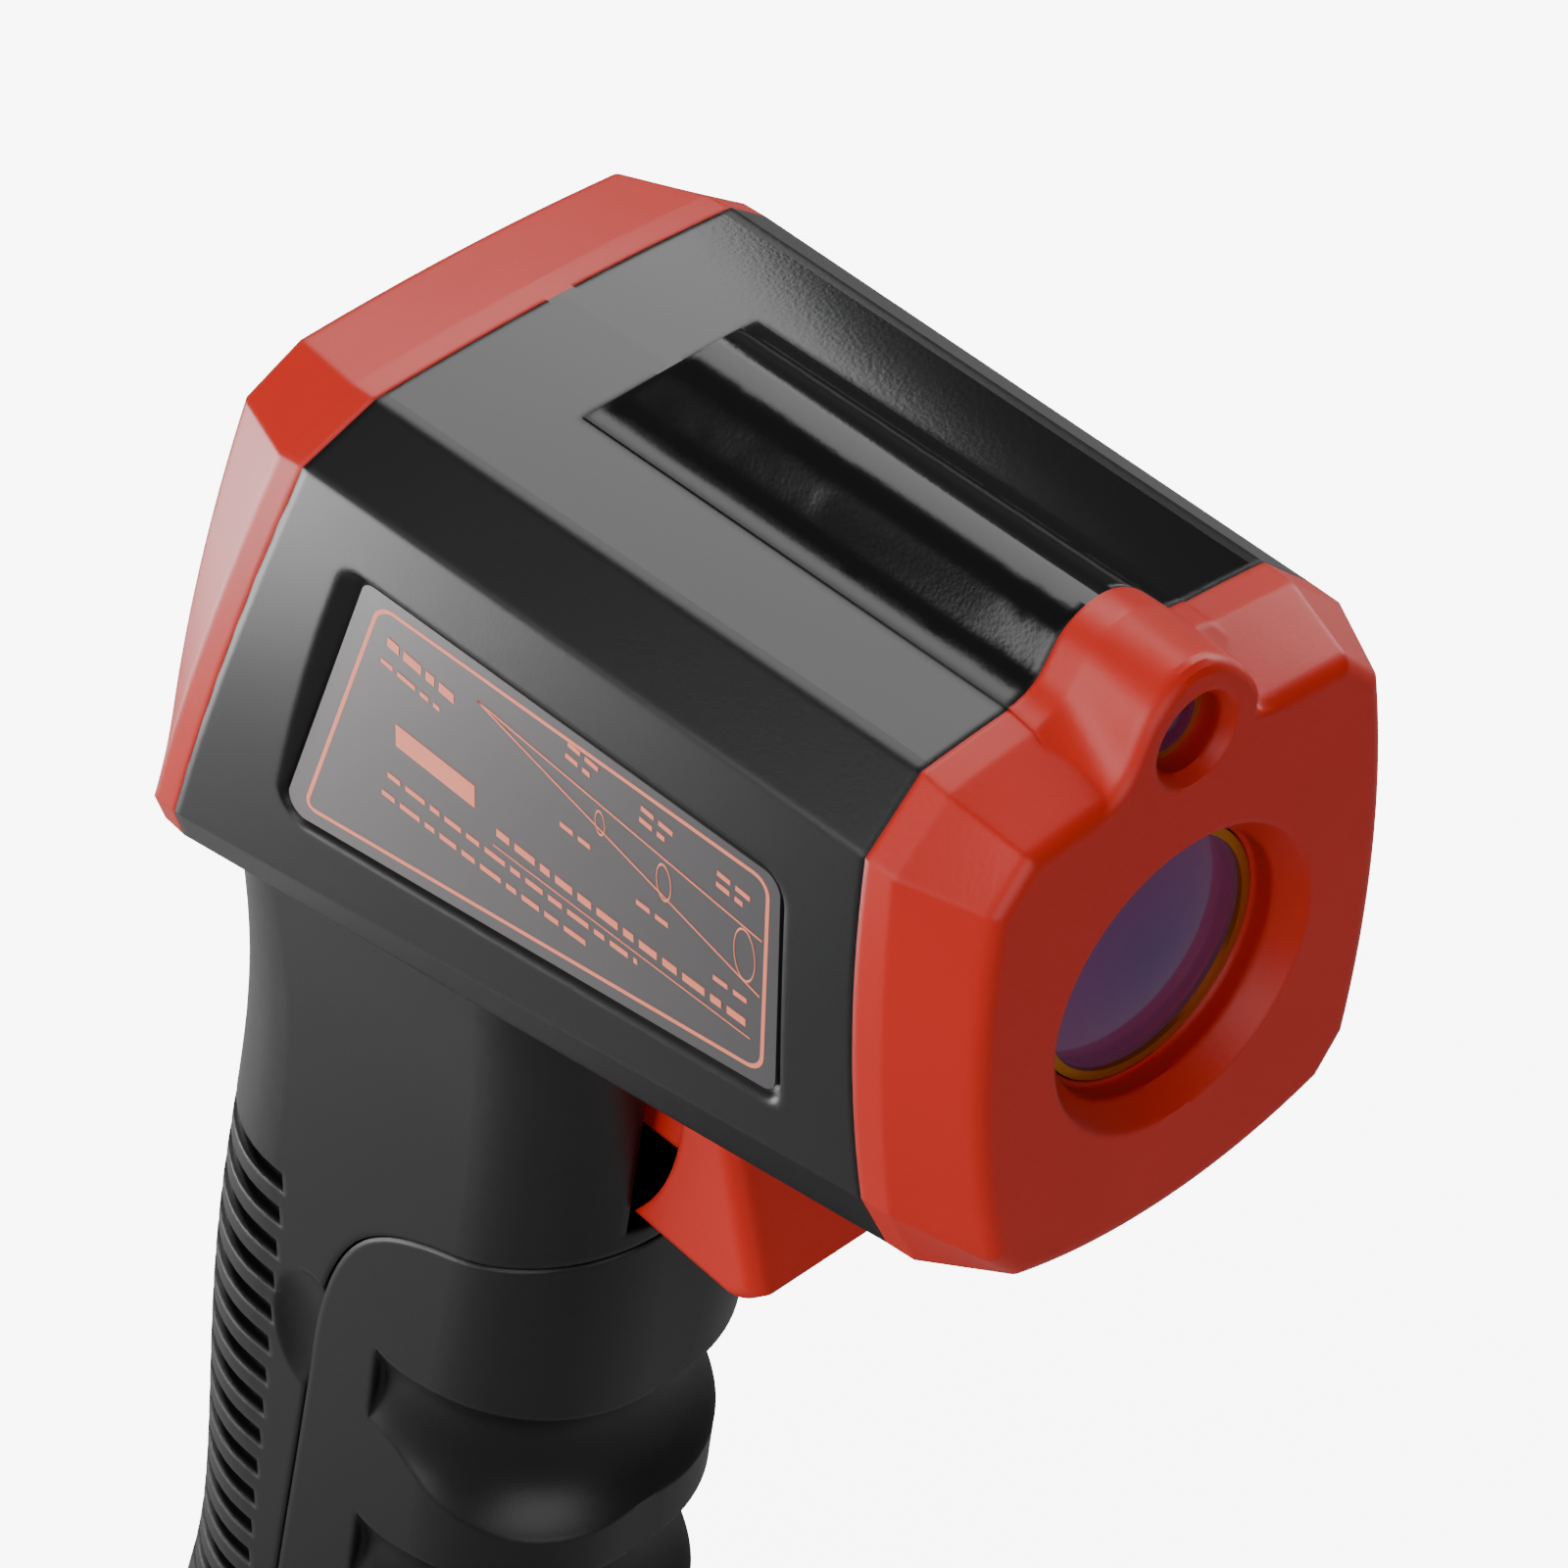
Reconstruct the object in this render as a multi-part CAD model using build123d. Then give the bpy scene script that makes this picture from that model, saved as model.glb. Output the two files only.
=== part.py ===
from build123d import *
import math
import os

# Pistol-type infrared thermometer, millimetres.
# Modelling frame: x = 0 on the split plane of the two housing shells, the nose points to -Y,
# z = 0 on the flat top of the head.  save() moves it so that the base rests on z = 0.

# ---- driving dimensions ----
BASE_DROP = 163.7          # flat top of the head down to the resting base
WALL = 2.2                 # moulded wall
GAP = 0.15                 # clearance between pieces that are fitted together
RUN = 0.05                 # radial clearance of a running fit
SEAM = 0.3                 # width of a visible joint line

NOSE_FACE = -36.1          # front face of the nose
NOSE_RIDGE = -29.4         # edge where the nose starts to taper
NOSE_SEAM = -26.8          # nose bezel meets the housing
REAR_SEAM = 26.8           # rear bezel meets the housing, at the top
REAR_LEAN = 24.0           # lean of the display plane, degrees
REAR_FACE = 37.0           # outer rim of the rear bezel, at the top
REAR_FACE_LEAN = 17.8
HEAD_HALF = 22.0           # half of the overall width

LENS_Z = -21.7             # optical axis below the head's top
LENS_R = 9.2
LENS_RING = 0.7            # radial width of the lens retaining ring
LENS_DEPTH = 3.6           # lens ring below the nose face
MOUTH_R = 12.1             # countersunk mouth of the lens recess
MOUTH_DEPTH = 2.0
TUBE_WALL = 1.6
TUBE_LENGTH = 24.0
TUBE_R = LENS_R + LENS_RING
RING_THICK = 0.9
NOSE_ROUND = 1.5
REAR_ROUND = 1.2
HUMP_FOOT = 9.4            # half width of the laser hump at the nose face
HUMP_FOOT_Z = -2.3
LASER_SLEEVE = 4.6         # solid round the laser in the nose
SENSOR_R = 4.6
SENSOR_LENGTH = 5.0
BOARD = 1.6                # circuit board thickness

LASER_Z = -0.55
LASER_R = 3.0
LASER_LENGTH = 14.0
LASER_MOUTH = 3.9
CREST = 5.9                # height of the laser rib above the head's top
RIB_FOOT = 8.0
RIB_END = 15.1             # rear end of the rib

GRIP_HALF = 14.5
GRIP_LEAN = 10.0
FINGER_PITCH = 22.4
FINGER_FIRST = -106.5      # height of the first finger scallop
FINGER_R = 10.5
FINGER_DEPTH = 4.2         # deepest at the middle of the front
FINGER_SIDE = 1.1          # depth where a groove reaches the side
SLOT_PITCH = 4.25          # palm grooves on the back of the grip
SLOT_COUNT = 16
SLOT_TOP = -91.0
SLOT_DEPTH = 1.3
SLOT_HEIGHT = 2.1

CELL_R = 5.25              # AAA cell
CELL_LENGTH = 44.5
CELL_GAP = 0.8
TRAY_WALL = 1.6
CONTACT = 0.4

TRIGGER_HALF = 6.5
TRIGGER_PIVOT = (6.0, -46.5)
PIN_R = 1.25
PIN_HALF = 10.0
HUB_R = 3.4
COIL_HALF = 1.8
SWITCH_FRONT = 18.4        # front of the trigger switch
SWITCH_DEPTH = 5.6
STEM_HALF = 5.6            # stem that reaches back to the switch
STEM_BACK = 15.5
HINGE = (52.0, -160.3)     # battery door hinge axis
HINGE_BARREL = 3.2
SWING_R = 4.6              # cleared round the hinge for the foot of the door
KNUCKLE_X = 8.0            # where the shell's knuckle ends and the door's begin
HINGE_PIN = 1.0
SCREW_R = 1.2
SCREW_HEAD = 2.4
SCREW_SEAT = 10.6          # x of the screw heads' seat in the left shell
SCREW_TIP = 9.5
BOSS_R = 3.0
LABEL_THICK = 0.6
LABEL_FLOOR = 20.3         # x of the label recess floor
BUTTON_TRAVEL = 0.8
BUTTON_RISE = 1.1
KEY_DOME = 1.4

SCREW_PLACES = [(-20.5, -35.9), (2.5, -7.2), (29.0, -66.0), (50.5, -101.0), (57.5, -148.0)]

os.makedirs("parts", exist_ok=True)


def tan(deg):
    return math.tan(math.radians(deg))


def prism(outline, x0, x1):
    """A solid from x0 to x1 whose outline lies in the YZ plane."""
    face = make_face(Polyline(*[(0, y, z) for y, z in outline], close=True))
    return extrude(Pos(x0, 0, 0) * face, x1 - x0, dir=(1, 0, 0))


def disc_y(radius, y0, y1, z=0.0, x=0.0):
    """A cylinder along Y from y0 to y1."""
    return Pos(x, (y0 + y1) / 2, z) * Rot(90, 0, 0) * Cylinder(radius, abs(y1 - y0))


def disc_x(radius, x0, x1, y, z):
    """A cylinder along X from x0 to x1."""
    return Pos((x0 + x1) / 2, y, z) * Rot(0, 90, 0) * Cylinder(radius, abs(x1 - x0))


def cone_y(r0, r1, y0, y1, z):
    """A cone along +Y: radius r0 at y0 and r1 at y1."""
    return Pos(0, (y0 + y1) / 2, z) * Rot(-90, 0, 0) * Cone(r0, r1, y1 - y0)


def block(x0, x1, y0, y1, z0, z1):
    return Pos((x0 + x1) / 2, (y0 + y1) / 2, (z0 + z1) / 2) * Box(x1 - x0, y1 - y0, z1 - z0)


# ---- head ----
# A section is: top corner (a, za), shoulder (b, zb), side middle (m, zm), lower corner (c, zc),
# chamfer end (d, zd), crown height and bottom height, all for x > 0.

def section(y0, lean, a, za, b, zb, m, zm, c, zc, d, zd, crown, bottom, inset=0.0):
    """An eight-sided head section in a plane that leans back, with crowned edges."""
    def p(x, z):
        return (x, y0 - z * tan(lean), z)
    i = inset
    a, za, b, zb = a - 0.4 * i, za - i, b - i, zb - 0.4 * i
    m, c, zc, d, zd = m - i, c - i, zc + 0.3 * i, d - 0.7 * i, zd + i
    crown, bottom = crown - i, bottom + i
    edges = [
        ThreePointArc(p(-a, za), p(0, crown), p(a, za)),
        Line(p(a, za), p(b, zb)),
        ThreePointArc(p(b, zb), p(m, zm), p(c, zc)),
        Line(p(c, zc), p(d, zd)),
        ThreePointArc(p(d, zd), p(0, bottom), p(-d, zd)),
        Line(p(-d, zd), p(-c, zc)),
        ThreePointArc(p(-c, zc), p(-m, zm), p(-b, zb)),
        Line(p(-b, zb), p(-a, za)),
    ]
    return make_face(Wire(edges))


FRONT = (15.7, 0.0, 20.6, -4.5, HEAD_HALF - 0.4, -18.0, 20.65, -35.1, 18.2, -41.0, 1.0, -43.6)
RIDGE = (15.8, -0.3, 20.6, -4.6, HEAD_HALF - 0.6, -18.0, 20.5, -35.0, 18.1, -40.8, 0.8, -43.3)
FACE = (14.6, -2.4, 17.6, -5.7, 18.7, -20.0, 16.6, -37.6, 14.0, -40.2, -1.8, -42.6)
REAR = (16.5, 0.0, 21.6, -4.3, HEAD_HALF - 0.1, -25.0, 20.4, -49.6, 18.0, -54.9, 1.0, -56.2)
REAR_RIM = (16.4, -0.2, 21.7, -4.5, HEAD_HALF, -25.0, 20.5, -49.4, 18.0, -54.6, 0.8, -55.9)
REAR_OUT = (14.6, -1.6, 18.9, -5.2, 19.7, -24.0, 18.2, -46.4, 15.6, -51.6, -0.9, -53.0)


def rib_face(y, crest=CREST, foot=RIB_FOOT, foot_z=0.9):
    """Cross-section of the laser rib: a crest that flows into the head's top."""
    rise = crest - foot_z
    points = [(-foot, foot_z), (-0.66 * foot, foot_z + 0.25 * rise), (-0.45 * foot, foot_z + 0.7 * rise)]
    points += [(0, crest)] + [(-x, z) for x, z in reversed(points)]
    top = Spline(*[(x, y, z) for x, z in points], tangents=[(1, 0, 0.15), (1, 0, -0.15)])
    low = Polyline((foot, y, foot_z), (foot, y, -4), (-foot, y, -4), (-foot, y, foot_z))
    return make_face(Wire([top, *low.edges()]))


def rib(y0, y1, inset=0.0):
    face = rib_face(y0, CREST - inset, RIB_FOOT - inset)
    return extrude(face, y1 - y0, dir=(0, 1, 0))


def head_body(inset=0.0):
    """Head between the two seams; the inset one is its hollow."""
    reach = 1.0 if inset else 0.0
    first = section(NOSE_SEAM - reach, 0, *FRONT, inset=inset)
    last = section(REAR_SEAM + reach, REAR_LEAN, *REAR, inset=inset)
    return loft([first, last], ruled=True)


def rib_body(inset=0.0):
    """Housing's part of the rib with its sloped rear end."""
    reach = 1.0 if inset else 0.0
    body = rib(NOSE_SEAM - reach, RIB_END - 1.2 * inset, inset=inset)
    top = RIB_END - 1.2 * inset
    ramp = prism([(top - CREST - 1, CREST + 2), (top + 1, CREST + 2), (top + 1, 0), (top, 0.6)], -12, 12)
    return body - ramp


# ---- grip ----
# Rows: height, front, back, half width, front corner radius, back corner radius.
GRIP_ROWS = [
    (-46.0, 9.0, 49.0, GRIP_HALF + 2.9, 8.0, 8.0),
    (-56.0, 10.0, 53.5, GRIP_HALF + 2.0, 9.0, 11.0),
    (-67.0, 11.5, 56.5, GRIP_HALF + 0.6, 10.0, 13.0),
    (-80.0, 13.3, 59.0, GRIP_HALF, 11.0, 13.5),
    (-100.0, 16.8, 63.6, GRIP_HALF, 12.0, 13.7),
    (-125.0, 21.2, 67.8, GRIP_HALF, 12.0, 13.7),
    (-148.0, 25.2, 71.2, GRIP_HALF, 12.0, 13.7),
    (-BASE_DROP, 27.5, 75.3, GRIP_HALF + 0.8, 12.0, 14.0),
]


# The middle of the overall length becomes y = 0 and the base becomes z = 0.
CENTRE_Y = (NOSE_FACE + GRIP_ROWS[-1][2]) / 2
PLACE = Pos(0, -CENTRE_Y, BASE_DROP)


def save(name, shape):
    """Write a finished node in the part's own frame."""
    export_step(PLACE * shape, f"parts/{name}.step")


def grip_section(row, side=0.0, front=0.0, back=0.0):
    z, y0, y1, half, r0, r1 = row
    y0, y1, half = y0 + front, y1 - back, half - side
    r0, r1 = r0 - min(side, 2), r1 - side
    face = Pos(0, (y0 + y1) / 2, z) * Rectangle(2 * half, y1 - y0)
    mid = (y0 + y1) / 2
    near = [v for v in face.vertices() if v.Y < mid]
    far = [v for v in face.vertices() if v.Y > mid]
    face = fillet(near, r0)
    far = [v for v in face.vertices() if v.Y > y1 - 0.01]
    return fillet(far, r1)


def grip_body():
    return loft([grip_section(row) for row in GRIP_ROWS])


def grip_hollow():
    """Room inside the grip, clear of the finger scallops and closed by the base."""
    z, y0, y1, half, r0, r1 = GRIP_ROWS[-1]
    rows = GRIP_ROWS[:-1] + [(z + WALL + 0.2, y0, y1, GRIP_HALF, r0, r1)]
    front = [WALL, WALL, WALL, WALL + 1.0] + [FINGER_DEPTH + WALL - 0.4] * 4
    return loft([grip_section(row, WALL, f, WALL + 0.6) for row, f in zip(rows, front)])


def front_at(z):
    """Front line of the grip at a height."""
    for (z1, f1, *_), (z2, f2, *_) in zip(GRIP_ROWS, GRIP_ROWS[1:]):
        if z1 >= z >= z2:
            return f1 + (f2 - f1) * (z1 - z) / (z1 - z2)
    return GRIP_ROWS[-1][1]


def finger_cut():
    """Three finger grooves that wrap round the front of the grip and fade out on its sides."""
    waist = GRIP_HALF - FINGER_SIDE
    ring = Torus(waist + FINGER_R, FINGER_R) & block(-40, 40, -40, 1.0, -FINGER_R, FINGER_R)
    cuts = []
    for i in range(3):
        z = FINGER_FIRST - i * FINGER_PITCH
        centre = front_at(z) + FINGER_DEPTH + waist
        cuts.append(Pos(0, centre, z) * Rot(GRIP_LEAN, 0, 0) * ring)
    return cuts


def palm_slots():
    """Short grooves across the back of the grip, round at their ends."""
    cuts = []
    for i in range(SLOT_COUNT):
        z = SLOT_TOP - i * SLOT_PITCH
        back = 61.6 + (SLOT_TOP - z) * (71.6 - 61.6) / 60.0
        ring = Pos(0, back - 13.5, z) * (
            Box(40, 40, SLOT_HEIGHT) - Cylinder(GRIP_HALF - SLOT_DEPTH, SLOT_HEIGHT + 1)
        )
        cuts.append(ring & block(-20, 20, back - 15.0, back + 6, z - 5, z + 5))
    return cuts


def door_outline(grow=0.0):
    """Side outline of the battery door: hump, back seam, hinge barrel, base and front."""
    g = grow
    hump = Spline((2, 0.0, -73.0 + g), (2, 12.0, -79.2 + g), (2, 26.0, -83.9 + g),
                  (2, 36.2, -89.8 + g), (2, 41.4 + g, -98.5 + g * 0.4), (2, 44.4 + g, -109.5))
    back = Line((2, 44.4 + g, -109.5), (2, HINGE[0] + HINGE_BARREL + g, HINGE[1] + 1.0))
    r = HINGE_BARREL + g
    drop = -BASE_DROP - 1
    barrel = Polyline((2, HINGE[0] + r, HINGE[1] + 1.0), (2, HINGE[0] + r, HINGE[1]))
    bend = ThreePointArc((2, HINGE[0] + r, HINGE[1]),
                         (2, HINGE[0] + r * 0.7071, HINGE[1] - r * 0.7071), (2, HINGE[0], HINGE[1] - r))
    foot = Polyline((2, HINGE[0], HINGE[1] - r), (2, HINGE[0] - 0.5, drop), (2, 0.0, drop),
                    (2, 0.0, -73.0 + g))
    return make_face(Wire([hump, back, *barrel.edges(), bend, *foot.edges()]))


def door_region(grow=0.0):
    return extrude(Pos(-32, 0, 0) * door_outline(grow), 60, dir=(1, 0, 0))


def label_outline(grow):
    """The label's four corners on the side of the head, pushed out by grow."""
    g = grow
    return [(23.4 + g, -11.6 + g), (-19.1 - g, -11.4 + g), (-18.5 - g, -31.1 - g),
            (34.6 + 1.2 * g, -39.5 - g)]


def label_face(grow, x, radius):
    face = make_face(Polyline(*[(x, y, z) for y, z in label_outline(grow)], close=True))
    return fillet(face.vertices(), radius)


def label_recess(sign):
    """Bevelled recess for a side label."""
    floor = label_face(GAP, sign * LABEL_FLOOR, 1.6)
    mouth = label_face(1.6, sign * (HEAD_HALF + 0.2), 3.0)
    return loft([floor, mouth], ruled=True)


def trigger_window():
    """Opening under the head and in the neck that the trigger swings in."""
    side = TRIGGER_HALF + 0.5
    return block(-side, side, -4.5, 19.0, -77.6, -40.5)


def rear_plane(shape):
    """Place a shape drawn on the display plane: local y points out, local z up the panel."""
    return Pos(0, REAR_SEAM, 0) * Rot(REAR_LEAN, 0, 0) * shape


PANEL_Z = -30.0            # middle of the display plane, along it
PANEL_W = 35.0
PANEL_H = 49.0
PANEL_THICK = 2.0
PANEL_Y = 1.0              # inner face of the rear panel above the seam plane
OPEN_W = 31.0
OPEN_H = 41.0
OPEN_Z = -31.0
WINDOW_W = 26.0
WINDOW_H = 20.0
WINDOW_Z = -22.4
WINDOW_THICK = 1.2
LCD_W = 24.0
LCD_H = 18.0
PCB_Y = -12.0              # display side of the main board
PCB_W = 28.4
PCB_H = 46.0
POST_X = 12.0
POST_Z = (-9.6, -50.4)
KEY_Z = -43.5
KEY_X = [-9.6, 0.0, 9.6]
KEY_R = [3.4, 4.2, 3.4]


def plate(w, h, y0, y1, z, radius):
    """A rounded plate on the display plane between local y0 and y1."""
    face = Pos(0, y0, z) * Rot(90, 0, 0) * RectangleRounded(w, h, radius)
    return extrude(face, y1 - y0, dir=(0, 1, 0))


def lens_cradle():
    """Two webs in the shells that carry the lens tube and the laser module."""
    web = Part()
    for y in (-19.0, -11.0):
        web += block(-24, 24, y, y + 1.6, -60, 4)
    return web - disc_y(TUBE_R, NOSE_FACE, 0, LENS_Z) - disc_y(LASER_R, NOSE_FACE, 0, LASER_Z)


def grip_frame(shape):
    """Place a shape drawn along the leaning grip: local y is depth, local z runs up the grip."""
    return Pos(0, 39.5, -103.0) * Rot(GRIP_LEAN, 0, 0) * shape


# battery bay, in the grip's own frame
CELL_X = CELL_R + CELL_GAP / 2
CELL_Y = -4.6
TRAY_BACK = CELL_Y + CELL_R + GAP
BAY_TOP = 5.7
SPRING_ROOM = 5.6
NUB = 0.8
BAY_LOW = BAY_TOP - NUB - CELL_LENGTH - SPRING_ROOM
TRAY_HALF = 2 * CELL_X - CELL_GAP / 2 + 0.7
RAIL_Y = TRAY_BACK + 3.4


def tray_rails():
    """Rails on the shells that the battery tray is held against."""
    low, high = BAY_LOW - 2, BAY_TOP + 2
    rail = block(TRAY_HALF - 2.2, GRIP_HALF + 0.5, RAIL_Y, RAIL_Y + TRAY_WALL, low, high)
    return grip_frame(rail + mirror(rail, about=Plane.YZ))


def shell_inserts(outer):
    """Everything that stands inside the shells, trimmed to their outside."""
    posts = Part() + [disc_x(BOSS_R, -24, 24, y, z) for y, z in SCREW_PLACES]
    for sign in (-1, 1):
        posts += disc_x(4.2, sign * 24, sign * (TRIGGER_HALF + 0.5), *TRIGGER_PIVOT)
    posts += lens_cradle()
    return posts & outer


def rear_void():
    """Space behind the display seam, where the rear bezel sits."""
    near = section(REAR_SEAM, REAR_LEAN, *REAR)
    far = section(REAR_SEAM + 20, REAR_LEAN, 22, 1, 29, -5, 29, -25, 27, -52, 24, -56, 6, -56.3)
    return loft([near, far], ruled=True)


def switch_wall(outer):
    """Cross wall behind the trigger switch."""
    y = SWITCH_FRONT + SWITCH_DEPTH
    return block(-24, 24, y, y + 1.6, -69.0, -52.0) & outer


def knuckle(x0, x1, grow=0.0):
    return disc_x(HINGE_BARREL + grow, x0, x1, *HINGE)


def build_shells():
    """Both housing shells and the battery door, cut from one outside shape."""
    outer = head_body() + rib_body() + grip_body() - rear_void()
    shell = outer - (head_body(WALL) + rib_body(1.8) + grip_hollow())
    shell = shell + shell_inserts(outer)
    shell = shell - trigger_window() - disc_x(PIN_R, -PIN_HALF, PIN_HALF, *TRIGGER_PIVOT)
    shell = shell + switch_wall(outer)
    shell = shell - [*finger_cut(), *palm_slots()]
    shell = shell - label_recess(-1) - label_recess(1)
    ends = knuckle(-20, -KNUCKLE_X, 0.5) + knuckle(KNUCKLE_X, 20, 0.5)
    shell = shell + (ends & outer)
    swing = SWING_R - HINGE_BARREL
    door = (shell & door_region()) - knuckle(-KNUCKLE_X - GAP, KNUCKLE_X + GAP, swing)
    door = door - disc_x(HINGE_PIN + RUN, -13.2, 13.2, *HINGE)
    body = shell + (tray_rails() & outer) - door_region(SEAM)
    for x0, x1 in ((-20, -KNUCKLE_X + GAP), (KNUCKLE_X - GAP, 20)):
        body = body - knuckle(x0, x1, swing)
    foot = block(-KNUCKLE_X + GAP, KNUCKLE_X - GAP, HINGE[0], HINGE[0] + 6, -BASE_DROP, HINGE[1] + 1)
    body = body + ((knuckle(-KNUCKLE_X + GAP, KNUCKLE_X - GAP) + foot) & outer)
    body = body - disc_x(HINGE_PIN, -13, 13, *HINGE)
    for sign in (-1, 1):
        thumb = scale(Sphere(1), (2.3, 5.0, 8.2))
        body = body - Pos(sign * (GRIP_HALF + 1.0), 44.4, -106.5) * Rot(GRIP_LEAN, 0, 0) * thumb
    right = body & block(-40, 0, -60, 90, -180, 20)
    left = body & block(0, 40, -60, 90, -180, 20)
    for y, z in SCREW_PLACES:
        right = right - disc_x(SCREW_R, -SCREW_TIP, 1, y, z)
        left = left - disc_x(SCREW_R + GAP, -1, 24, y, z) - disc_x(SCREW_HEAD + GAP, SCREW_SEAT, 30, y, z)
    save("right_housing", right)
    save("left_housing", left)
    save("battery_door", door)


def build_front_bezel():
    """Red nose: near-parallel band, tapered band, laser hump, lens recess and laser mouth."""
    ridge = section(NOSE_RIDGE, 0, *RIDGE)
    band = loft([section(NOSE_SEAM, 0, *FRONT), ridge], ruled=True)
    taper = loft([ridge, section(NOSE_FACE, 0, *FACE)], ruled=True)
    front_edges = [e for e in taper.edges() if e.bounding_box().max.Y < NOSE_FACE + 0.01]
    taper = fillet(front_edges, NOSE_ROUND)
    ribs = [rib_face(NOSE_SEAM), rib_face(NOSE_RIDGE, CREST, RIB_FOOT + 0.2, 0.7)]
    for back, pull in ((1.2, 0.0), (0.7, 0.12), (0.25, 0.45), (0.0, 0.95)):
        y = NOSE_FACE + back
        ribs.append(rib_face(y, CREST - 0.4 - pull, HUMP_FOOT - pull, HUMP_FOOT_Z - 0.3 * pull))
    hump = loft(ribs, ruled=True)
    nose = band + taper + hump
    room = loft([section(NOSE_SEAM + 1, 0, *FRONT, inset=WALL),
                 section(NOSE_FACE + 4.6, 0, *FACE, inset=WALL)], ruled=True)
    nose = nose - (room - disc_y(LASER_SLEEVE, NOSE_FACE, NOSE_SEAM + 2, LASER_Z))
    mouth_end = NOSE_FACE + MOUTH_DEPTH
    throat = LENS_R + LENS_RING + GAP
    nose = nose - cone_y(MOUTH_R + 0.45, throat + 0.4, NOSE_FACE - 0.6, mouth_end, LENS_Z)
    nose = nose - disc_y(throat + 0.4, NOSE_FACE, NOSE_FACE + LENS_DEPTH, LENS_Z)
    nose = nose - disc_y(throat, NOSE_FACE, NOSE_SEAM + 2, LENS_Z)
    nose = nose - cone_y(LASER_MOUTH + 0.3, LASER_R, NOSE_FACE - 0.6, NOSE_FACE + 0.9, LASER_Z)
    nose = nose - disc_y(LASER_R, NOSE_FACE - 1, NOSE_SEAM + 2, LASER_Z)
    save("front_bezel", nose)


def build_optics():
    """Lens, its ring, tube, sensor and the laser module, all along Y."""
    seat = NOSE_FACE + LENS_DEPTH + RING_THICK
    ring = disc_y(LENS_R + LENS_RING, seat - RING_THICK, seat, LENS_Z)
    save("lens_retaining_ring", ring - disc_y(LENS_R, seat - 2, seat + 1, LENS_Z))
    dome_h = 1.3
    dome_r = (LENS_R ** 2 + dome_h ** 2) / (2 * dome_h)
    cap = Pos(0, seat - 0.5 - dome_h + dome_r, LENS_Z) * Sphere(dome_r)
    lens = cap & disc_y(LENS_R, seat - 5, seat - 0.5, LENS_Z)
    save("ir_lens", lens + disc_y(LENS_R, seat - 0.5, seat, LENS_Z))
    end = seat + TUBE_LENGTH
    tube = disc_y(TUBE_R, seat, end, LENS_Z) - disc_y(TUBE_R - TUBE_WALL, seat, end, LENS_Z)
    for i in range(4):
        y = seat + 4 + 4 * i
        baffle = disc_y(TUBE_R - 0.5, y, y + 0.6, LENS_Z)
        tube += baffle - disc_y(TUBE_R - TUBE_WALL - 0.9, y, y + 0.6, LENS_Z)
    save("lens_tube", tube)
    save("sensor_board", disc_y(TUBE_R, end, end + BOARD, LENS_Z))
    can = disc_y(SENSOR_R, end - 0.6, end, LENS_Z)
    can += disc_y(SENSOR_R - 0.5, end - SENSOR_LENGTH, end, LENS_Z)
    save("ir_sensor", can - disc_y(1.4, end - SENSOR_LENGTH - 1, end - SENSOR_LENGTH + 0.4, LENS_Z))
    front = NOSE_FACE + 2.6
    glass = disc_y(LASER_R - 0.6, front, front + 0.8, LASER_Z)
    save("laser_ring", disc_y(LASER_R, front, front + 0.8, LASER_Z) - glass)
    bead = Pos(0, front + 3.6, LASER_Z) * Sphere(4.1)
    bead = bead & disc_y(LASER_R - 0.6, front - 2, front + 0.1, LASER_Z)
    save("laser_lens", glass + bead)
    module = disc_y(LASER_R, front + 0.8, front + 0.8 + LASER_LENGTH, LASER_Z)
    module -= disc_y(1.5, front, front + 1.6, LASER_Z)
    module += disc_y(LASER_R - 0.9, front + 0.8 + LASER_LENGTH, front + 3.4 + LASER_LENGTH, LASER_Z)
    save("laser_module", module)


def build_rear_bezel():
    """Red frame round the display side."""
    rim = section(REAR_SEAM + 2.4, REAR_LEAN, *REAR_RIM)
    band = loft([section(REAR_SEAM, REAR_LEAN, *REAR), rim], ruled=True)
    taper = loft([rim, section(REAR_FACE, REAR_FACE_LEAN, *REAR_OUT)], ruled=True)
    flat_faces = taper.faces().filter_by(GeomType.PLANE).sort_by(Axis.Y)
    taper = fillet(flat_faces[-1].edges(), REAR_ROUND)
    frame = band + taper
    seat = plate(PANEL_W + 2 * GAP, PANEL_H + 2 * GAP, -4, PANEL_Y + PANEL_THICK, PANEL_Z, 4.0)
    frame = frame - rear_plane(seat)
    frame = frame - rear_plane(plate(OPEN_W, OPEN_H, -4, 20, OPEN_Z, 4.0))
    save("rear_bezel", frame)


def build_rear_panel():
    """Inner panel with its window seat, key holes and board posts."""
    y0, y1 = PANEL_Y, PANEL_Y + PANEL_THICK
    panel = plate(PANEL_W, PANEL_H, y0, y1, PANEL_Z, 3.9)
    panel -= plate(WINDOW_W + 2 * GAP, WINDOW_H + 2 * GAP, y1 - WINDOW_THICK, y1 + 1, WINDOW_Z, 1.6)
    panel -= plate(LCD_W, LCD_H, y0 - 1, y1 + 1, WINDOW_Z, 0.8)
    for x, r in zip(KEY_X, KEY_R):
        panel -= disc_y(r + RUN, y0 - 1, y1 + 1, KEY_Z, x)
    for x in (-POST_X, POST_X):
        for z in POST_Z:
            panel += disc_y(2.2, PCB_Y, y0, z, x) - disc_y(0.8, PCB_Y - 1, PCB_Y + 5, z, x)
    save("rear_panel", rear_plane(panel))
    window = plate(WINDOW_W, WINDOW_H, y1 - WINDOW_THICK, y1, WINDOW_Z, 1.5)
    save("display_window", rear_plane(window))


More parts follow.
